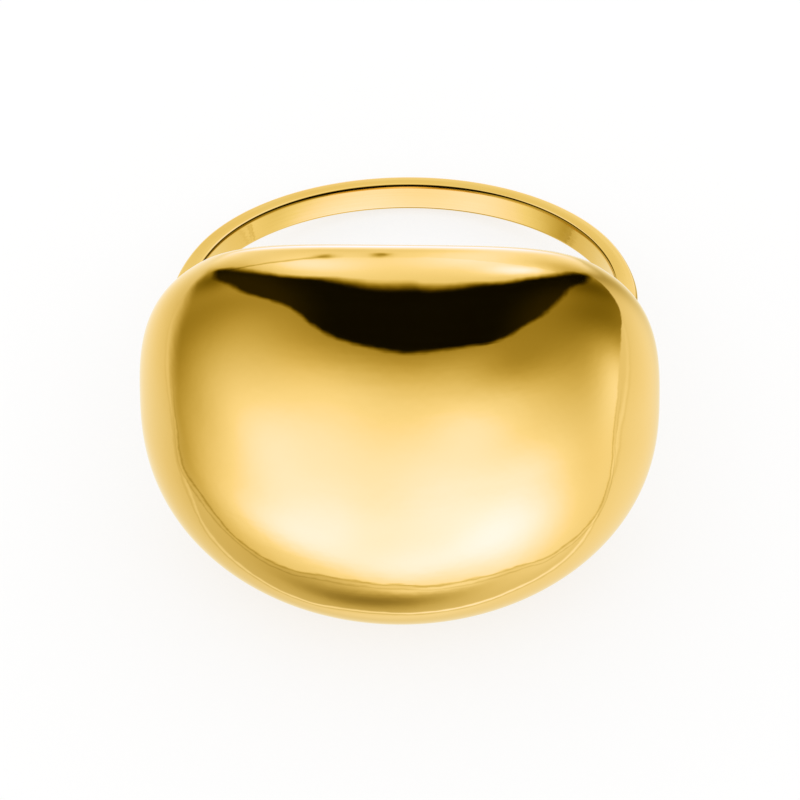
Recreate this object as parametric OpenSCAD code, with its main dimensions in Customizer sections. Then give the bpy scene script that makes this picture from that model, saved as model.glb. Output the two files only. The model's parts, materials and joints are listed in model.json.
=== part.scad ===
// Domed finger ring, cast in one piece: a thin flat band that carries a large cushion-shaped head.
// Millimetres. Z is up and the head faces -Y. The ring lies on its side as it rests by itself,
// on the lower edge of the head and the back of the band. The origin is on the surface that it
// rests on, under the middle of its bounding box.

/* [Finger hole] */
// Inner diameter of the ring
finger_d = 17.3; // [15:0.1:21]

/* [Band] */
// Thickness of the band, from the finger outward
band_wall = 0.75; // [0.5:0.01:1.4]
// Width of the band along the finger
band_width = 1.22; // [0.9:0.02:3]
// Radius of the band's outer edges
band_edge = 0.12; // [0.05:0.01:0.2]

/* [Head] */
// Height of the head's crown above the finger
head_rise = 6.35; // [4.5:0.05:8]
// Length of the head along the finger
head_length = 17.1; // [13:0.1:20]
// Angle round the finger from the middle of the head to its side
head_reach = 63; // [50:0.5:70]
// Squareness of the head's outline round the finger, where 2 is an ellipse
reach_power = 2; // [2:0.05:3]
// Squareness of the head's outline along the finger, where 2 is an ellipse
length_power = 2.6; // [2:0.05:3]
// Fullness of the head's flanks, where 2 is an ellipse
flank_power = 3.5; // [2:0.05:4]
// Radius of the roll by which the rim turns in under the head
rim_roll = 2; // [0.4:0.05:2.5]
// Angle through which the rim has turned where it meets the finger hole
roll_turn = 70; // [40:1:75]

/* [Hidden] */

// Points round each contour of the head
sides = 96;
// Contours from the crown down to the rim's roll, and round the roll
crown_steps = 24;
roll_steps = 12;
// Depth to which the head's blank reaches into the finger hole before the hole is cut
blank_depth = 0.4;
// Facets of the circles
ring_fn = 180;
edge_fn = 32;
// Length of the finger hole's cutter
hole_length = 3*head_length;

finger_r = finger_d/2;
band_r = finger_r + band_wall;

function signed_power(v, n) = sign(v)*pow(abs(v), n);

// Height above the finger at an angle down from the crown
function crown_height(a) = head_rise*pow(cos(a), 2/flank_power);

// Share of the full outline that the head has at a height above the finger
function spread(h) = sqrt(1 - pow(max(h, 0)/head_rise, flank_power));

// Height above the finger at an angle round the rim's roll
function roll_height(a) = rim_roll*(sin(roll_turn) - sin(a));

// Distance that the rolled rim is drawn in at a height above the finger
function roll_in(h) =
    let (depth = min(max(roll_height(0) - h, 0), rim_roll))
    rim_roll - sqrt(pow(rim_roll, 2) - pow(depth, 2));

// Point of the head at a height above the finger and an angle round its contour
function head_point(h, a) =
    let (turn = head_reach*spread(h)*signed_power(cos(a), 2/reach_power))
    let (along = head_length/2*spread(h)*signed_power(sin(a), 2/length_power))
    let (arc = finger_r*turn*PI/180)
    let (keep = 1 - roll_in(h)/norm([arc, along]))
    let (r = finger_r + h)
    [r*sin(turn*keep), -r*cos(turn*keep), along*keep];

// Heights of the contours, from under the crown down into the finger hole
crown_end = acos(pow(roll_height(0)/head_rise, flank_power/2));
contour_heights = concat(
    [for (i = [1:crown_steps]) crown_height(crown_end*i/crown_steps)],
    [for (i = [1:roll_steps]) roll_height(90*i/roll_steps)],
    [-blank_depth]
);
contours = [for (h = contour_heights) [for (j = [0:sides - 1]) head_point(h, 360*j/sides)]];

// How far the ring leans back: the slope of the line that touches the band's lower back edge
// and the underside of the head
keel = [for (c = contours) c[3*sides/4]];
back_edge = [band_r - band_edge, band_edge - band_width/2];
function slope_to(p) =
    let (run = back_edge[0] - p[1])
    let (drop = back_edge[1] - p[2])
    atan(drop/run) - asin(band_edge/norm([run, drop]));
lean = max([for (p = keel) slope_to(p)]);

// Y and Z of a point of the upright ring after it leans back
function leant_y(y, z) = y*cos(lean) + z*sin(lean);
function leant_z(y, z) = z*cos(lean) - y*sin(lean);

// Height of the finger hole's centre above the surface, and its place along Y
lift = band_edge - leant_z(back_edge[0], back_edge[1]);
head_front = min([for (c = contours) for (p = c) leant_y(p[1], p[2])]);
band_back = leant_y(back_edge[0], -back_edge[1]) + band_edge;
shift = -(head_front + band_back)/2;

module head_blank() {
    last = len(contours) - 1;
    crown = [0, -finger_r - head_rise, 0];
    inner = [0, -finger_r*cos(head_reach), 0];
    points = concat([crown], [for (c = contours) for (p = c) p], [inner]);
    function at(i, j) = 1 + i*sides + j % sides;
    polyhedron(
        points,
        concat(
            [for (j = [0:sides - 1]) [0, at(0, j + 1), at(0, j)]],
            [for (i = [0:last - 1]) for (j = [0:sides - 1]) [at(i, j), at(i, j + 1), at(i + 1, j)]],
            [for (i = [0:last - 1]) for (j = [0:sides - 1]) [at(i + 1, j), at(i, j + 1), at(i + 1, j + 1)]],
            [for (j = [0:sides - 1]) [at(last, j), at(last, j + 1), len(points) - 1]]
        )
    );
}

module band_section() {
    half = band_width/2;
    translate([finger_r - blank_depth, -half]) square([band_wall + blank_depth - band_edge, band_width]);
    translate([finger_r - blank_depth, band_edge - half])
        square([band_wall + blank_depth, band_width - 2*band_edge]);
    for (side = [-1, 1]) {
        translate([band_r - band_edge, side*(half - band_edge)]) circle(r = band_edge, $fn = edge_fn);
    }
}

module ring() {
    color("gold")
    translate([0, shift, lift])
    rotate([-lean, 0, 0])
    difference() {
        union() {
            head_blank();
            rotate_extrude($fn = ring_fn) band_section();
        }
        cylinder(r = finger_r, h = hole_length, center = true, $fn = ring_fn);
    }
}

ring();
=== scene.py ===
"""Domed finger ring in polished gold plate, lying on its side on a pale floor in soft studio light.

Lengths are written in millimetres and become metres with MM. The ring is built upright round its
finger hole, with the head towards -Y, and then takes the lean and the place of the CAD's finger hole.
"""

import json
import math

import bpy
from mathutils import Matrix, Vector


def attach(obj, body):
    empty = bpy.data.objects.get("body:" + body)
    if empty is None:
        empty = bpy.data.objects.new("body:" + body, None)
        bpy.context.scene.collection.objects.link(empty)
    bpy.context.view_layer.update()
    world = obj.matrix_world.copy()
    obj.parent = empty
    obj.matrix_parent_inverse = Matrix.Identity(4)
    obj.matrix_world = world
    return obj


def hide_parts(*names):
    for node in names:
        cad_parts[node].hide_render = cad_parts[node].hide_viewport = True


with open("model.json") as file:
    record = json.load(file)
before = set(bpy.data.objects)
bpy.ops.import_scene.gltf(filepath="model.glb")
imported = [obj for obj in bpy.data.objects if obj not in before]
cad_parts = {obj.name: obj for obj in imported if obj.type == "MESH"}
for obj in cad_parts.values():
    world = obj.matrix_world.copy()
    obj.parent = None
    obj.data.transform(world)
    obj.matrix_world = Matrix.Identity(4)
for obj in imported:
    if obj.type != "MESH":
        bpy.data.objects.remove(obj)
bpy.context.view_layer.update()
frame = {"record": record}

MM = 0.001
MATH = "ShaderNodeMath"

# The finger hole as the CAD places it: a point on its axis, the axis and its radius
hole = frame["record"]["mounts"][0]
hole_centre = Vector(hole["pos_m"])
hole_radius = hole["dims"]["r_mm"] * MM
lean = math.atan2(hole["axis"][1], hole["axis"][2])
upright_to_floor = Matrix.Translation(hole_centre) @ Matrix.Rotation(-lean, 4, "X")

# Head, with the names and sizes of the part's source. Rows run from the crown over the rim and along
# the back, and sides run round each row.
HEAD = {
    "Finger Radius": hole_radius,
    "Rise": 6.35 * MM,
    "Half Length": 8.55 * MM,
    "Reach": math.radians(63),
    "Reach Power": 2.0,
    "Length Power": 2.6,
    "Flank Power": 3.5,
    "Rim Roll": 2.0 * MM,
    "Roll Turn": math.radians(70),
    "Rows": 236,
    "Sides": 360,
}
ROWS_TO_ROLL = 0.66  # share of the rows on the crown and flank, above the rim's roll
ROWS_TO_BACK = 0.88  # share of the rows above the back, which lines the finger hole

# Band: each end starts just inside the head, at an angle from the head's middle. There the section has
# grown by the flare's share, which fades out over the flare's turn, as the solder fills the corner. The
# inner edges are eased more than the outer ones, to sit well on the finger.
BAND = {
    "Finger Radius": hole_radius,
    "Wall": 0.75 * MM,
    "Width": 1.22 * MM,
    "Edge": 0.12 * MM,
    "Inner Edge": 0.17 * MM,
    "Side Crown": 0.02 * MM,
    "Side Rounding": 2 * MM,
    "Start": math.radians(54),
    "Steps": 300,
    "Flare": 0.6,
    "Flare Turn": math.radians(60),
}
EDGE_STEPS = 10  # points round each rounded edge of the band
NEAR_MIDDLE = 0.01 * MM  # a point of the section nearer its middle line than this is on that line
MERGE_WITHIN = 0.0002 * MM  # points nearer together than this become one


def add(tree, kind, *values, out=0, named=None, **settings):
    """Adds a node with its settings, fills or links its inputs in order or by name, and gives an output."""
    made = tree.nodes.new(kind)
    for name, value in settings.items():
        setattr(made, name, value)
    filled = list(zip([s for s in made.inputs if s.enabled], values))
    filled += [(made.inputs[name], value) for name, value in (named or {}).items()]
    for socket, value in filled:
        if isinstance(value, bpy.types.NodeSocket):
            tree.links.new(value, socket)
        elif value is not None:
            socket.default_value = value
    return made.outputs[out] if made.outputs else made


def linear(hexes):
    """sRGB hex colour to linear."""
    shares = [int(hexes[i : i + 2], 16) / 255 for i in (1, 3, 5)]
    return tuple(s / 12.92 if s <= 0.04045 else ((s + 0.055) / 1.055) ** 2.4 for s in shares) + (1.0,)


def shape_tree(name, sizes):
    """A Geometry Nodes tree with these sizes and a material as named inputs; gives their sockets too."""
    tree = bpy.data.node_groups.new(name, "GeometryNodeTree")
    for label, value in sizes.items():
        kind = "NodeSocketInt" if isinstance(value, int) else "NodeSocketFloat"
        tree.interface.new_socket(label, in_out="INPUT", socket_type=kind)
    tree.interface.new_socket("Material", in_out="INPUT", socket_type="NodeSocketMaterial")
    tree.interface.new_socket("Geometry", in_out="OUTPUT", socket_type="NodeSocketGeometry")
    entry = tree.nodes.new("NodeGroupInput")
    return tree, {s.name: s for s in entry.outputs if s.name}


def close_tree(tree, geometry, material):
    """Ends a tree: seams closed and smooth, then Realize Instances and Set Material."""
    closed = add(tree, "GeometryNodeMergeByDistance", geometry, True, MERGE_WITHIN)
    smooth = add(tree, "GeometryNodeSetShadeSmooth", closed, True, True)
    solid = add(tree, "GeometryNodeRealizeInstances", smooth)
    solid = add(tree, "GeometryNodeSetMaterial", solid, True, material)
    add(tree, "NodeGroupOutput", solid)


def grow(name, tree, sizes, material):
    """Runs a tree, gives its result as a plain mesh at the origin, and hangs it on the ring."""
    bare = bpy.data.objects.new(name + "_tree", bpy.data.meshes.new(name + "_tree"))
    bpy.context.scene.collection.objects.link(bare)
    modifier = bare.modifiers.new("shape", "NODES")
    modifier.node_group = tree
    for item in tree.interface.items_tree:
        if item.in_out == "INPUT":
            modifier[item.identifier] = material if item.name == "Material" else sizes[item.name]
    bpy.context.view_layer.update()
    shaped = bare.evaluated_get(bpy.context.evaluated_depsgraph_get())
    mesh = bpy.data.meshes.new_from_object(shaped)
    bpy.data.objects.remove(bare)
    mesh.transform(upright_to_floor)
    mesh.name = name
    piece = bpy.data.objects.new(name, mesh)
    bpy.context.scene.collection.objects.link(piece)
    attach(piece, "root")
    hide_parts("ring")


def head_tree():
    """The head: a cushion wrapped on the finger, whose contours shrink towards the crown by one rule.

    A grid is bent into place. Across it runs the angle round each contour. Along it run the rows, from
    the crown down the flank, round the rolled rim and back to the middle of the finger hole's wall.
    """
    tree, given = shape_tree("Head on a finger", HEAD)
    columns = add(tree, MATH, given["Sides"], 1.0, operation="ADD")
    lines = add(tree, MATH, given["Rows"], 1.0, operation="ADD")
    sheet = add(tree, "GeometryNodeMeshGrid", named={"Vertices X": columns, "Vertices Y": lines}).node
    place = add(tree, "ShaderNodeSeparateXYZ", sheet.outputs["UV Map"]).node
    round_share = place.outputs["X"]
    down = place.outputs["Y"]

    # Where a row lies: its angle down the crown, its angle round the roll and its share along the back
    end_height = add(tree, MATH, given["Roll Turn"], operation="SINE")
    end_height = add(tree, MATH, end_height, given["Rim Roll"], operation="MULTIPLY")
    end_height = add(tree, MATH, end_height, given["Rise"], operation="DIVIDE")
    half_power = add(tree, MATH, given["Flank Power"], 2.0, operation="DIVIDE")
    end_cosine = add(tree, MATH, end_height, half_power, operation="POWER")
    end_angle = add(tree, MATH, end_cosine, operation="ARCCOSINE")
    crown_angle = add(tree, "ShaderNodeMapRange", down, 0.0, ROWS_TO_ROLL, 0.0, end_angle)
    roll_angle = add(tree, "ShaderNodeMapRange", down, ROWS_TO_ROLL, ROWS_TO_BACK, 0.0, given["Roll Turn"])
    back_share = add(tree, "ShaderNodeMapRange", down, ROWS_TO_BACK, 1.0, 0.0, 1.0)

    # Height above the finger, and the share of the full outline at that height
    cosine = add(tree, MATH, crown_angle, operation="COSINE")
    fall = add(tree, MATH, 2.0, given["Flank Power"], operation="DIVIDE")
    crown = add(tree, MATH, cosine, fall, operation="POWER")
    crown = add(tree, MATH, crown, given["Rise"], operation="MULTIPLY")
    drop = add(tree, MATH, roll_angle, operation="SINE")
    drop = add(tree, MATH, drop, given["Rim Roll"], operation="MULTIPLY")
    height = add(tree, MATH, crown, drop, operation="SUBTRACT")
    share = add(tree, MATH, height, given["Rise"], operation="DIVIDE")
    share = add(tree, MATH, share, 0.0, operation="MAXIMUM")
    share = add(tree, MATH, share, given["Flank Power"], operation="POWER")
    share = add(tree, MATH, 1.0, share, operation="SUBTRACT")
    spread = add(tree, MATH, share, operation="SQRT")

    # The outline at that share: a turn round the finger and a length along it
    angle = add(tree, MATH, round_share, -2 * math.pi, operation="MULTIPLY")
    reach = {}
    for label, wave, full, power in (
        ("turn", "COSINE", "Reach", "Reach Power"),
        ("along", "SINE", "Half Length", "Length Power"),
    ):
        way = add(tree, MATH, angle, operation=wave)
        size = add(tree, MATH, way, operation="ABSOLUTE")
        bend = add(tree, MATH, 2.0, given[power], operation="DIVIDE")
        size = add(tree, MATH, size, bend, operation="POWER")
        side = add(tree, MATH, way, operation="SIGN")
        size = add(tree, MATH, size, side, operation="MULTIPLY")
        size = add(tree, MATH, size, given[full], operation="MULTIPLY")
        reach[label] = add(tree, MATH, size, spread, operation="MULTIPLY")
    arc = add(tree, MATH, reach["turn"], given["Finger Radius"], operation="MULTIPLY")
    away = add(tree, "ShaderNodeCombineXYZ", arc, reach["along"], 0.0)
    away = add(tree, "ShaderNodeVectorMath", away, operation="LENGTH", out="Value")

    # The roll draws the rim in, and the back closes from the rim to its middle
    drawn = add(tree, MATH, roll_angle, operation="COSINE")
    drawn = add(tree, MATH, 1.0, drawn, operation="SUBTRACT")
    drawn = add(tree, MATH, drawn, given["Rim Roll"], operation="MULTIPLY")
    drawn = add(tree, MATH, drawn, away, operation="DIVIDE")
    keep = add(tree, MATH, 1.0, drawn, operation="SUBTRACT")
    left = add(tree, MATH, 1.0, back_share, operation="SUBTRACT")
    keep = add(tree, MATH, keep, left, operation="MULTIPLY")

    # Wrapped round the finger
    turn = add(tree, MATH, reach["turn"], keep, operation="MULTIPLY")
    along = add(tree, MATH, reach["along"], keep, operation="MULTIPLY")
    radius = add(tree, MATH, height, given["Finger Radius"], operation="ADD")
    sine = add(tree, MATH, turn, operation="SINE")
    cosine = add(tree, MATH, turn, operation="COSINE")
    x = add(tree, MATH, radius, sine, operation="MULTIPLY")
    y = add(tree, MATH, radius, cosine, operation="MULTIPLY")
    y = add(tree, MATH, y, -1.0, operation="MULTIPLY")
    point = add(tree, "ShaderNodeCombineXYZ", x, y, along)
    bent = add(tree, "GeometryNodeSetPosition", sheet.outputs["Mesh"], True, point)
    close_tree(tree, bent, given["Material"])
    return tree, HEAD


def band_tree():
    """The band: a flat strip with rounded edges, swept round the finger from side to side of the head."""
    tree, given = shape_tree("Band round a finger", BAND)
    sweep = add(tree, MATH, given["Start"], -2.0, operation="MULTIPLY")
    sweep = add(tree, MATH, sweep, 2 * math.pi, operation="ADD")
    first = add(tree, MATH, given["Start"], -math.pi / 2, operation="ADD")
    path = add(
        tree,
        "GeometryNodeCurveArc",
        named={
            "Resolution": given["Steps"],
            "Radius": given["Finger Radius"],
            "Start Angle": first,
            "Sweep Angle": sweep,
        },
    )
    path = add(tree, "GeometryNodeSetCurveNormal", path, named={"Selection": True}, mode="Z_UP")

    # Towards each end the section grows outward, as the solder fills the corner
    share = add(tree, "GeometryNodeSplineParameter", out="Factor")
    other = add(tree, MATH, 1.0, share, operation="SUBTRACT")
    near = add(tree, MATH, share, other, operation="MINIMUM")
    near = add(tree, MATH, near, sweep, operation="MULTIPLY")
    swell = add(
        tree,
        "ShaderNodeMapRange",
        near,
        0.0,
        given["Flare Turn"],
        given["Flare"],
        0.0,
        interpolation_type="SMOOTHERSTEP",
    )
    swell = add(tree, MATH, swell, 1.0, operation="ADD")

    # The section is a rectangle, with a point in the middle of each side and its own rounding at each point
    section = add(
        tree,
        "GeometryNodeCurvePrimitiveQuadrilateral",
        named={"Width": given["Wall"], "Height": given["Width"]},
    )
    section = add(tree, "GeometryNodeSubdivideCurve", section, 1)
    corner = add(tree, "GeometryNodeInputPosition")
    corner = add(tree, "ShaderNodeSeparateXYZ", corner).node.outputs
    inner = add(tree, MATH, corner["X"], 0.0, operation="LESS_THAN")
    rounding = add(tree, "ShaderNodeMapRange", inner, 0.0, 1.0, given["Edge"], given["Inner Edge"])

    # The sides are a little crowned: their corners drop, and a wide rounding eases their middles
    middle = add(tree, MATH, corner["X"], 0.0, NEAR_MIDDLE, operation="COMPARE")
    rounding = add(tree, "ShaderNodeMapRange", middle, 0.0, 1.0, rounding, given["Side Rounding"])
    up = add(tree, MATH, corner["Y"], operation="SIGN")
    drop = add(tree, MATH, middle, -1.0, operation="ADD")
    drop = add(tree, MATH, drop, up, operation="MULTIPLY")
    drop = add(tree, MATH, drop, given["Side Crown"], operation="MULTIPLY")
    drop = add(tree, "ShaderNodeCombineXYZ", 0.0, drop, 0.0)
    section = add(tree, "GeometryNodeSetPosition", section, named={"Offset": drop})
    section = add(tree, "GeometryNodeFilletCurve", section, EDGE_STEPS, rounding, mode="POLY")

    # The section's inner side lies on the path, so the flare leaves the finger hole round
    half = add(tree, MATH, given["Wall"], 0.5, operation="MULTIPLY")
    step = add(tree, "ShaderNodeCombineXYZ", half, 0.0, 0.0)
    section = add(tree, "GeometryNodeTransform", section, named={"Translation": step})
    swept = add(
        tree,
        "GeometryNodeCurveToMesh",
        named={"Curve": path, "Profile Curve": section, "Scale": swell, "Fill Caps": True},
    )
    close_tree(tree, swept, given["Material"])
    return tree, BAND


# Polish: sizes across a ripple, and heights from its lowest to its highest point
RIPPLE_SIZE = 3 * MM
RIPPLE_HEIGHT = 0.03 * MM
FELT_SIZE = 0.6 * MM
FELT_HEIGHT = 0.003 * MM
LINE_GAP = 0.14 * MM
LINE_LENGTH = 6 * MM
HEAD_LINES = 0.0005 * MM
BAND_LINES = 0.004 * MM
HEAD_ROUGHNESS = 0.02
BAND_ROUGHNESS = 0.04

# Tones of the plate where it is thin and where it is thick. The band's pair is the same gold made darker,
# as painted shade
HEAD_TONES = ("#FFDD92", "#FFDB8C")
BAND_SHADED_TONES = ("#F7D580", "#F7D279")

# The noise values between which the plate goes from thin to thick, and from bright to dull
THICKENS = (0.3, 0.7)
DULLS = (0.35, 0.75)


def gold_plate(name, tones, lines, roughness):
    """Gold plate over brass, polished to a mirror: it shows its surroundings, a little bent.

    A broad ripple is left by the casting and a finer one by the felt wheel. The wheel runs round the
    finger, so its last fine lines lie that way. They are really a few hundredths of a millimetre apart
    and are drawn coarser here, so that they show.
    """
    material = bpy.data.materials.new(name)
    material.use_nodes = True
    tree = material.node_tree
    tree.nodes.clear()
    place = add(tree, "ShaderNodeTexCoord", out="Object")
    place = add(tree, "ShaderNodeMapping", place, tuple(hole_centre), (-lean, 0, 0), vector_type="TEXTURE")

    # Places with one unit to a ripple's size
    broad = add(tree, "ShaderNodeVectorMath", place, named={"Scale": 1 / RIPPLE_SIZE}, operation="SCALE")
    fine = add(tree, "ShaderNodeVectorMath", place, named={"Scale": 1 / FELT_SIZE}, operation="SCALE")

    # Places along the wheel's lines: round the finger in their length, across and outward in their gap
    parts = add(tree, "ShaderNodeSeparateXYZ", place).node.outputs
    flat = add(tree, "ShaderNodeCombineXYZ", parts["X"], parts["Y"], 0.0)
    radius = add(tree, "ShaderNodeVectorMath", flat, operation="LENGTH", out="Value")
    wheel = add(tree, "ShaderNodeVectorMath", flat, operation="NORMALIZE")
    turns = hole_radius / LINE_LENGTH
    wheel = add(tree, "ShaderNodeVectorMath", wheel, named={"Scale": turns}, operation="SCALE")
    across = add(tree, MATH, parts["Z"], LINE_GAP, operation="DIVIDE")
    across = add(tree, "ShaderNodeCombineXYZ", 0.0, 0.0, across)
    wheel = add(tree, "ShaderNodeVectorMath", wheel, across, operation="ADD")
    outward = add(tree, MATH, radius, LINE_GAP, operation="DIVIDE")

    ripple = add(tree, "ShaderNodeTexNoise", broad, named={"Scale": 1.0, "Detail": 0.0})
    felt = add(tree, "ShaderNodeTexNoise", fine, named={"Scale": 1.0, "Detail": 1.0})
    grain = add(
        tree,
        "ShaderNodeTexNoise",
        named={"Vector": wheel, "W": outward, "Scale": 1.0, "Detail": 1.0},
        noise_dimensions="4D",
    )
    height = add(tree, MATH, ripple, RIPPLE_HEIGHT, operation="MULTIPLY")
    height = add(tree, MATH, felt, FELT_HEIGHT, height, operation="MULTIPLY_ADD")
    height = add(tree, MATH, grain, lines, height, operation="MULTIPLY_ADD")
    bump = add(tree, "ShaderNodeBump", named={"Strength": 1.0, "Distance": 1.0, "Height": height})

    # The plate is a shade thicker and warmer in patches, and the wheel left some places less bright
    thick = add(tree, "ShaderNodeMapRange", ripple, *THICKENS, 0.0, 1.0)
    thin_tone, thick_tone = [linear(tone) for tone in tones]
    colour = add(tree, "ShaderNodeMix", thick, thin_tone, thick_tone, data_type="RGBA", out=2)
    dull = add(tree, "ShaderNodeMapRange", grain, *DULLS, roughness, 2 * roughness)
    shader = add(
        tree,
        "ShaderNodeBsdfPrincipled",
        named={"Base Color": colour, "Metallic": 1.0, "Roughness": dull, "Normal": bump},
    )
    add(tree, "ShaderNodeOutputMaterial", shader)
    return material


# Camera, as the photograph sees the ring: 30.6 degrees above the plane of its band
CAMERA_AWAY = 400 * MM
CAMERA_ABOVE = math.radians(30.55)
CAMERA_ROUND = math.radians(2.13)
CAMERA_ROLL = math.radians(-0.57)
CAMERA_SENSOR = 36
CAMERA_NEAR = 10 * MM
CAMERA_FAR = 10000 * MM
PIXELS_PER_MM = 24.29
HOLE_IN_FRAME = (405.3, 302.2)
FRAME_SIDE = 800


def camera():
    """The camera, aimed so that the finger hole's centre lies at its pixel of the frame."""
    away = Vector(
        (
            math.cos(CAMERA_ABOVE) * math.sin(CAMERA_ROUND),
            -math.cos(CAMERA_ABOVE) * math.cos(CAMERA_ROUND),
            math.sin(CAMERA_ABOVE),
        )
    )
    right = Vector((math.cos(CAMERA_ROUND), math.sin(CAMERA_ROUND), 0))
    up = away.cross(right)
    tilted_right = right * math.cos(CAMERA_ROLL) + up * math.sin(CAMERA_ROLL)
    tilted_up = up * math.cos(CAMERA_ROLL) - right * math.sin(CAMERA_ROLL)
    middle = FRAME_SIDE / 2
    step = MM / PIXELS_PER_MM
    aim = tilted_right * (middle - HOLE_IN_FRAME[0]) * step - tilted_up * (middle - HOLE_IN_FRAME[1]) * step
    eye = away * CAMERA_AWAY
    back = (eye - aim).normalized()
    side = tilted_up.cross(back).normalized()
    turn = Matrix((side, back.cross(side), back)).transposed().to_4x4()
    data = bpy.data.cameras.new("camera")
    data.sensor_width = CAMERA_SENSOR
    data.lens = CAMERA_SENSOR * PIXELS_PER_MM * CAMERA_AWAY / MM / FRAME_SIDE
    data.clip_start = CAMERA_NEAR
    data.clip_end = CAMERA_FAR
    seen = bpy.data.objects.new("camera", data)
    bpy.context.scene.collection.objects.link(seen)
    seen.matrix_world = upright_to_floor @ Matrix.Translation(eye) @ turn
    bpy.context.scene.camera = seen


# The board takes a soft shadow under the ring, and its own glow lifts it to near white
FLOOR_REACH = 6.0
FLOOR_TONE = "#8E8E8E"
FLOOR_GLOW = 0.74


def floor():
    """A matt white board, which the gold doesn't mirror: it mirrors the tent's white sheet instead."""
    mesh = bpy.data.meshes.new("floor")
    corners = [(x * FLOOR_REACH, y * FLOOR_REACH, 0) for x, y in ((-1, -1), (1, -1), (1, 1), (-1, 1))]
    mesh.from_pydata(corners, [], [(0, 1, 2, 3)])
    material = bpy.data.materials.new("matt white board")
    material.use_nodes = True
    tree = material.node_tree
    tree.nodes.clear()
    board = add(tree, "ShaderNodeBsdfDiffuse", linear(FLOOR_TONE), 0.0)
    glow = add(tree, "ShaderNodeEmission", linear("#FFFFFF"), FLOOR_GLOW)
    both = add(tree, "ShaderNodeAddShader", board, glow)
    add(tree, "ShaderNodeOutputMaterial", both)
    mesh.materials.append(material)
    piece = bpy.data.objects.new("floor", mesh)
    bpy.context.scene.collection.objects.link(piece)
    piece.visible_glossy = False


# The light tent round the ring, which the gold mirrors. All its angles are degrees. Azimuth runs from
# the front, where the camera is, to the right. Elevation runs from the horizon up, and side from the
# middle to the right. Tour is 0 overhead, 90 at the horizon behind the ring and -90 in front of it.
# Levels are brightness as seen, 1 for white. Each row of lights is an azimuth, an elevation, a half
# width and a half height as shares of the tent's radius, and a level, below 0 for a shade.
HALF_TURN = 180
TOUR_FROM = -120
TOUR_TO = 240

# The tent's walls
TENT_LEVEL = 1.01
TENT_LIGHTS = (
    (30, 18, 0.45, 0.30, 0.40),
    (-15, -10, 1.10, 0.35, 0.35),
    (20, 45, 1.40, 1.20, -0.50),
    (-140, 5, 0.30, 0.35, -0.50),
    (105, 0, 0.55, 0.60, -0.50),
    (-100, -5, 0.55, 1.15, -0.50),
    (-55, -30, 0.50, 0.15, 0.10),
    (40, -28, 0.50, 0.40, 0.22),
    (-20, 20, 0.55, 0.30, 0.25),
    (40, 20, 0.40, 0.20, -0.25),
    (90, -15, 0.25, 0.35, 0.35),
    (-85, 25, 0.35, 0.35, 0.10),
    (140, 5, 0.30, 0.60, -0.45),
    (-15, -10, 0.60, 0.20, -0.10),
    (-5, -35, 0.45, 0.15, 0.10),
)

# The white sheet under the ring. Its edge is rows of a clock angle and a radius about a point low
# behind the ring, 0 towards the back and 180 towards the front. The edge is blurred most on the left.
SHEET_LEVEL = 0.61
SHEET_LIGHTS = (
    (-150, -35, 1.35, 0.70, 0.30),
    (65, -50, 2.00, 1.20, 0.30),
    (-12, -57, 0.35, 0.14, -0.30),
    (155, -15, 0.25, 0.40, -0.30),
    (12, -48, 0.30, 0.06, 0.18),
    (-20, -80, 0.40, 0.12, 0.06),
)
SHEET_TILT = -62
SHEET_EDGE = (
    (-180, 75), (-160, 72), (-150, 67), (-135, 64), (-120, 64), (-110, 62), (-100, 68), (-85, 73),
    (-70, 74), (-60, 71), (-50, 65), (-40, 59), (-20, 30), (0, 25), (20, 35), (30, 54), (45, 61),
    (65, 67), (90, 75), (105, 71), (120, 59), (125, 57), (140, 59), (150, 66), (160, 70), (170, 72),
    (180, 75),
)
SHEET_BLUR = 1.8
LEFT_BLUR = 14.0
LEFT_CLOCK = -85
LEFT_WIDTH = 45

# A ridge in the sheet, in the same angles, with a shade from it out to the edge and a crease along it,
# both strongest in front. Each side of the crease is a place past the ridge and a width.
RIDGE = (
    (-180, 45.5), (-165, 45.5), (-155, 41), (-140, 43.5), (-125, 50), (-115, 60), (0, 70),
    (115, 64), (135, 49), (145, 47.5), (150, 48), (160, 46.5), (180, 45.5),
)
FRONT_WIDTH = 51.6
RIDGE_BLUR = 1.25
RIDGE_SHADE = -0.13
CREASE_BRIGHT = (-1.2, 1.5)
CREASE_DARK = (-3.8, 1.0)
CREASE_LEVEL = 0.1

# The double seam along the sheet's front edge: each line is a place inside the edge and a width. It
# comes in between two clock angles and is whole from there to the front.
SEAM = (0.0, 0.65)
SECOND_SEAM = (2.7, 0.55)
SECOND_SHARE = 0.6
SEAM_LEVEL = -0.15
SEAM_COMES = (95, 120)

# The dark ceiling: a point just behind the zenith, and its edge about it, 0 towards the back. The blur
# runs from outside the edge to inside it. Its sides are lighter, from one angle away from its middle
# to another.
CEILING_SIDE = 3
CEILING_TOUR = 25
CEILING_EDGE = (
    (-180, 73), (-165, 70.5), (-155, 67), (-145, 61.5), (-125, 52), (-105, 51), (-80, 55), (-55, 62),
    (-35, 74), (0, 84), (30, 71), (50, 58), (70, 54), (95, 54), (125, 62.5), (135, 66), (150, 73),
    (165, 72.5), (180, 73),
)
CEILING_BLUR = (-3.2, 1.4)
CEILING_LEVEL = 0.075
CEILING_SIDES = 0.145
CEILING_MIDDLE = 6
CEILING_LIGHTENS = (29, 51)

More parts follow.
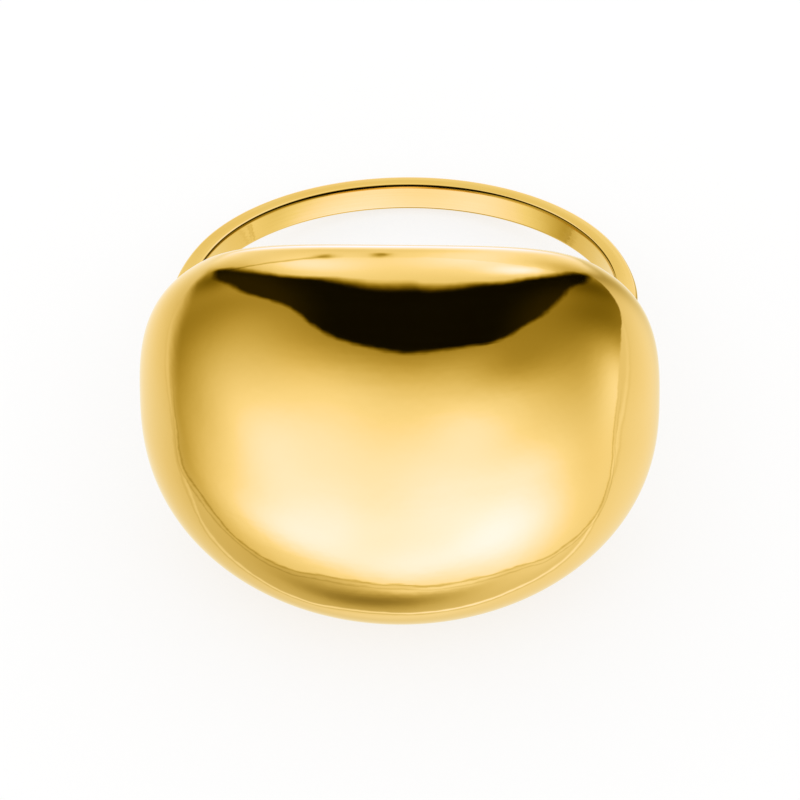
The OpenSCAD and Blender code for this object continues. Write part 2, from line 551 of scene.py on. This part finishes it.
# The bright card behind the ring, which leans over it: a point half way up, and its edge about it, 0 at
# the foot. The last two of its lights are small dark spots. The upper edge is blurred most, and the
# blur runs from one share of itself outside the edge to another inside it.
CARD_LEVEL = 0.86
CARD_LIGHTS = (
    (180, 4, 2.00, 0.42, -0.47),
    (-175, -5, 0.30, 0.60, 0.50),
    (164, 6, 0.25, 0.50, 0.50),
    (150, 20, 0.12, 0.30, 0.30),
    (-155, 10, 0.22, 0.50, 0.40),
    (-165, 20, 0.03, 0.05, -0.30),
    (-175, 23, 0.03, 0.05, -0.35),
)
CARD_TOUR = 65
CARD_EDGE = (
    (-180, 44.5), (-170, 44.5), (-160, 41), (-145, 36.5), (-130, 36), (-90, 33.5), (-60, 37), (-50, 41),
    (-45, 45), (-25, 51), (0, 53), (25, 50), (45, 42.5), (50, 39.5), (65, 35.5), (85, 34), (115, 35.5),
    (135, 40.5), (150, 43), (160, 46), (170, 46.5), (175, 44), (180, 44.5),
)
CARD_BLUR = 6.5
CARD_TOP_BLUR = 16.0
CARD_TOP_WIDTH = 30
CARD_BLURS = (-0.55, 0.45)

# A bend across the card and a dark fold along it on the left, on tours that drop with the side squared
BEND_DROP = -0.016
BEND_TOURS = (62.7, 64.3)
BEND_LEVEL = -0.03
FOLD = (65.0, 1.6)
FOLD_SIDES = (-12, -17)
FOLD_LEVEL = -0.16

# Colour of the light by its level as seen: neutral in the dark, amber where dim, white at 1, bluish
# above. The light from the sheet is a little less coloured.
SEEN_POWER = 2.2
AMBER_START = 0.2
AMBER = 0.585
AMBER_FALL = 0.57
BLUE_SHARE = 0.93
BLUE_POWER = 2.8
GLARE_START = 0.98
GLARE_BLUE = 5.0
SHEET_FADE = -0.14


def line(tree, value, middle, width):
    """1 where a value meets the middle of a line, falling to 0 on both sides."""
    value = add(tree, MATH, value, middle, operation="SUBTRACT")
    value = add(tree, MATH, value, width, operation="DIVIDE")
    value = add(tree, MATH, value, value, operation="MULTIPLY")
    value = add(tree, MATH, value, -1.0, operation="MULTIPLY")
    return add(tree, MATH, value, operation="EXPONENT")


def lit(tree, way, level, lights):
    """Adds soft lights to a level, each round its own direction."""
    for azimuth, elevation, wide, high, more in lights:
        turn = math.radians(azimuth)
        rise = math.radians(elevation)
        middle = (math.cos(rise) * math.sin(turn), -math.cos(rise) * math.cos(turn), math.sin(rise))
        sizes = (wide, 1, high)
        placed = add(
            tree, "ShaderNodeMapping", way, middle, (-rise, 0, turn), sizes, vector_type="TEXTURE"
        )
        square = add(tree, "ShaderNodeVectorMath", placed, placed, operation="DOT_PRODUCT", out="Value")
        fall = add(tree, MATH, square, -1.0, operation="MULTIPLY")
        glow = add(tree, MATH, fall, operation="EXPONENT")
        level = add(tree, MATH, glow, more, level, operation="MULTIPLY_ADD")
    return level


def degrees(tree, operation, *values):
    """Angle of an inverse sine, cosine or tangent, in degrees."""
    angle = add(tree, MATH, *values, operation=operation)
    return add(tree, MATH, angle, operation="DEGREES")


def polar(tree, across, along):
    """Clock angle and radius of a place."""
    clock = degrees(tree, "ARCTAN2", across, along)
    place = add(tree, "ShaderNodeCombineXYZ", across, along, 0.0)
    return clock, add(tree, "ShaderNodeVectorMath", place, operation="LENGTH", out="Value")


def outline(tree, clock, points):
    """Radius of an edge at a clock angle, on a smooth curve through its points."""
    share = add(tree, "ShaderNodeMapRange", clock, -HALF_TURN, HALF_TURN, 0.0, 1.0)
    curve = add(tree, "ShaderNodeFloatCurve", 1.0, share).node
    drawn = curve.mapping.curves[0]
    places = [((angle / HALF_TURN + 1) / 2, radius / HALF_TURN) for angle, radius in points]
    for place in places[1:-1]:
        drawn.points.new(*place)
    for point, place in zip(drawn.points, places):
        point.location = place
    curve.mapping.update()
    return add(tree, MATH, curve.outputs[0], HALF_TURN, operation="MULTIPLY")


def sheet_level(tree, way, clock, radius, limit):
    """Level of the sheet: shaded in front, where a ridge in it catches the light."""
    level = lit(tree, way, SHEET_LEVEL, SHEET_LIGHTS)
    turn = add(tree, MATH, clock, operation="ABSOLUTE")
    front = line(tree, turn, HALF_TURN, FRONT_WIDTH)
    ridge = outline(tree, clock, RIDGE)
    past = add(tree, MATH, radius, ridge, operation="SUBTRACT")
    shade = add(tree, "ShaderNodeMapRange", past, -RIDGE_BLUR, RIDGE_BLUR, interpolation_type="SMOOTHSTEP")
    rest = add(tree, "ShaderNodeMapRange", radius, ridge, limit, interpolation_type="SMOOTHSTEP")
    rest = add(tree, MATH, 1.0, rest, operation="SUBTRACT")
    shade = add(tree, MATH, shade, rest, operation="MULTIPLY")
    shade = add(tree, MATH, shade, front, operation="MULTIPLY")
    level = add(tree, MATH, shade, RIDGE_SHADE, level, operation="MULTIPLY_ADD")
    bright = line(tree, past, *CREASE_BRIGHT)
    dark = line(tree, past, *CREASE_DARK)
    crease = add(tree, MATH, bright, dark, operation="SUBTRACT")
    reach = add(tree, MATH, front, operation="SQRT")
    crease = add(tree, MATH, crease, reach, operation="MULTIPLY")
    return add(tree, MATH, crease, CREASE_LEVEL, level, operation="MULTIPLY_ADD")


def tent_level(tree, way):
    """Level of the tent's walls with the sheet and its seam, and how much of each place is sheet."""
    tilt = math.radians(SHEET_TILT)
    seen = add(tree, "ShaderNodeMapping", way, None, (tilt, 0, 0), vector_type="TEXTURE")
    seen = add(tree, "ShaderNodeSeparateXYZ", seen).node.outputs
    clock = degrees(tree, "ARCTAN2", seen["X"], seen["Z"])
    radius = degrees(tree, "ARCCOSINE", seen["Y"])
    limit = outline(tree, clock, SHEET_EDGE)
    walls = lit(tree, way, TENT_LEVEL, TENT_LIGHTS)
    sheet = sheet_level(tree, way, clock, radius, limit)
    blur = line(tree, clock, LEFT_CLOCK, LEFT_WIDTH)
    blur = add(tree, MATH, blur, LEFT_BLUR, SHEET_BLUR, operation="MULTIPLY_ADD")
    inside = add(tree, MATH, limit, radius, operation="SUBTRACT")
    on_sheet = add(tree, MATH, inside, blur, operation="DIVIDE")
    on_sheet = add(tree, "ShaderNodeMapRange", on_sheet, -0.5, 0.5, interpolation_type="SMOOTHSTEP")
    level = add(tree, "ShaderNodeMix", on_sheet, walls, sheet)

    seam = line(tree, inside, *SEAM)
    second = line(tree, inside, *SECOND_SEAM)
    seam = add(tree, MATH, second, SECOND_SHARE, seam, operation="MULTIPLY_ADD")
    turn = add(tree, MATH, clock, operation="ABSOLUTE")
    low = add(tree, "ShaderNodeMapRange", turn, *SEAM_COMES, interpolation_type="SMOOTHSTEP")
    seam = add(tree, MATH, seam, low, operation="MULTIPLY")
    return add(tree, MATH, seam, SEAM_LEVEL, level, operation="MULTIPLY_ADD"), on_sheet


def with_ceiling(tree, level, side, tour):
    """A level with the dark ceiling in front of it."""
    across = add(tree, MATH, side, CEILING_SIDE, operation="SUBTRACT")
    along = add(tree, MATH, tour, CEILING_TOUR, operation="SUBTRACT")
    clock, radius = polar(tree, across, along)
    limit = outline(tree, clock, CEILING_EDGE)
    inside = add(tree, MATH, limit, radius, operation="SUBTRACT")
    ceiling = add(tree, "ShaderNodeMapRange", inside, *CEILING_BLUR, interpolation_type="SMOOTHSTEP")
    away = add(tree, MATH, side, CEILING_MIDDLE, operation="SUBTRACT")
    away = add(tree, MATH, away, operation="ABSOLUTE")
    sides = add(tree, "ShaderNodeMapRange", away, *CEILING_LIGHTENS, interpolation_type="SMOOTHSTEP")
    dark = add(tree, "ShaderNodeMix", sides, CEILING_LEVEL, CEILING_SIDES)
    return add(tree, "ShaderNodeMix", ceiling, level, dark)


def with_card(tree, way, level, side, tour):
    """A level with the bright card in front of it."""
    along = add(tree, MATH, tour, CARD_TOUR, operation="SUBTRACT")
    clock, radius = polar(tree, side, along)
    limit = outline(tree, clock, CARD_EDGE)
    inside = add(tree, MATH, limit, radius, operation="SUBTRACT")
    turn = add(tree, MATH, clock, operation="ABSOLUTE")
    blur = line(tree, turn, HALF_TURN, CARD_TOP_WIDTH)
    blur = add(tree, MATH, blur, CARD_TOP_BLUR, CARD_BLUR, operation="MULTIPLY_ADD")
    card = add(tree, MATH, inside, blur, operation="DIVIDE")
    card = add(tree, "ShaderNodeMapRange", card, *CARD_BLURS, interpolation_type="SMOOTHSTEP")

    glow = lit(tree, way, CARD_LEVEL, CARD_LIGHTS)
    bow = add(tree, MATH, side, side, operation="MULTIPLY")
    bow = add(tree, MATH, bow, BEND_DROP, tour, operation="MULTIPLY_ADD")
    bend = add(tree, "ShaderNodeMapRange", bow, *BEND_TOURS, interpolation_type="SMOOTHSTEP")
    glow = add(tree, MATH, bend, BEND_LEVEL, glow, operation="MULTIPLY_ADD")
    fold = line(tree, bow, *FOLD)
    left = add(tree, "ShaderNodeMapRange", side, *FOLD_SIDES, interpolation_type="SMOOTHSTEP")
    fold = add(tree, MATH, fold, left, operation="MULTIPLY")
    glow = add(tree, MATH, fold, FOLD_LEVEL, glow, operation="MULTIPLY_ADD")
    return add(tree, "ShaderNodeMix", card, level, glow)


def light_colour(tree, level, on_sheet):
    """Colour of the light by its level as seen."""
    level = add(tree, MATH, level, 0.0, operation="MAXIMUM")
    green = add(tree, MATH, level, SEEN_POWER, operation="POWER")
    start = add(tree, "ShaderNodeMapRange", level, 0.0, AMBER_START, 0.0, 1.0)
    amber = add(tree, MATH, level, -AMBER_FALL, AMBER, operation="MULTIPLY_ADD")
    red = add(tree, MATH, amber, start, 1.0, operation="MULTIPLY_ADD")
    red = add(tree, MATH, red, green, operation="MULTIPLY")
    glare = add(tree, MATH, level, GLARE_START, operation="SUBTRACT")
    glare = add(tree, MATH, glare, 0.0, operation="MAXIMUM")
    glare = add(tree, MATH, glare, GLARE_BLUE, operation="MULTIPLY")
    blue = add(tree, MATH, level, BLUE_POWER, operation="POWER")
    blue = add(tree, MATH, blue, BLUE_SHARE, glare, operation="MULTIPLY_ADD")
    blue = add(tree, MATH, blue, green, operation="MULTIPLY")
    colour = add(tree, "ShaderNodeCombineColor", red, green, blue)
    faded = add(tree, MATH, on_sheet, SHEET_FADE, 1.0, operation="MULTIPLY_ADD")
    return add(tree, "ShaderNodeHueSaturation", named={"Saturation": faded, "Color": colour})


def studio():
    """The light tent, which only the gold's mirror rays see. Everything else gets plain white light."""
    world = bpy.data.worlds.new("studio")
    bpy.context.scene.world = world
    world.use_nodes = True
    tree = world.node_tree
    tree.nodes.clear()
    way = add(tree, "ShaderNodeTexCoord", out="Generated")
    parts = add(tree, "ShaderNodeSeparateXYZ", way).node.outputs
    side = degrees(tree, "ARCSINE", parts["X"])
    tour = degrees(tree, "ARCTAN2", parts["Y"], parts["Z"])
    tour = add(tree, MATH, tour, TOUR_TO, TOUR_FROM, operation="WRAP")

    level, on_sheet = tent_level(tree, way)
    level = with_ceiling(tree, level, side, tour)
    level = with_card(tree, way, level, side, tour)
    tent = add(tree, "ShaderNodeBackground", light_colour(tree, level, on_sheet), 1.0)
    plain = add(tree, "ShaderNodeBackground", linear("#FFFFFF"), 1.0)
    paths = add(tree, "ShaderNodeLightPath").node.outputs
    both = add(tree, "ShaderNodeMixShader", paths["Is Glossy Ray"], plain, tent)
    add(tree, "ShaderNodeOutputWorld", both)


head_gold = gold_plate("polished gold plate", HEAD_TONES, HEAD_LINES, HEAD_ROUGHNESS)
# The band's darker gold tones are painted shade
band_gold = gold_plate("polished gold plate, band", BAND_SHADED_TONES, BAND_LINES, BAND_ROUGHNESS)
grow("dome_head", *head_tree(), head_gold)
grow("finger_band", *band_tree(), band_gold)
camera()
floor()
studio()
bpy.context.scene.view_settings.view_transform = "Standard"
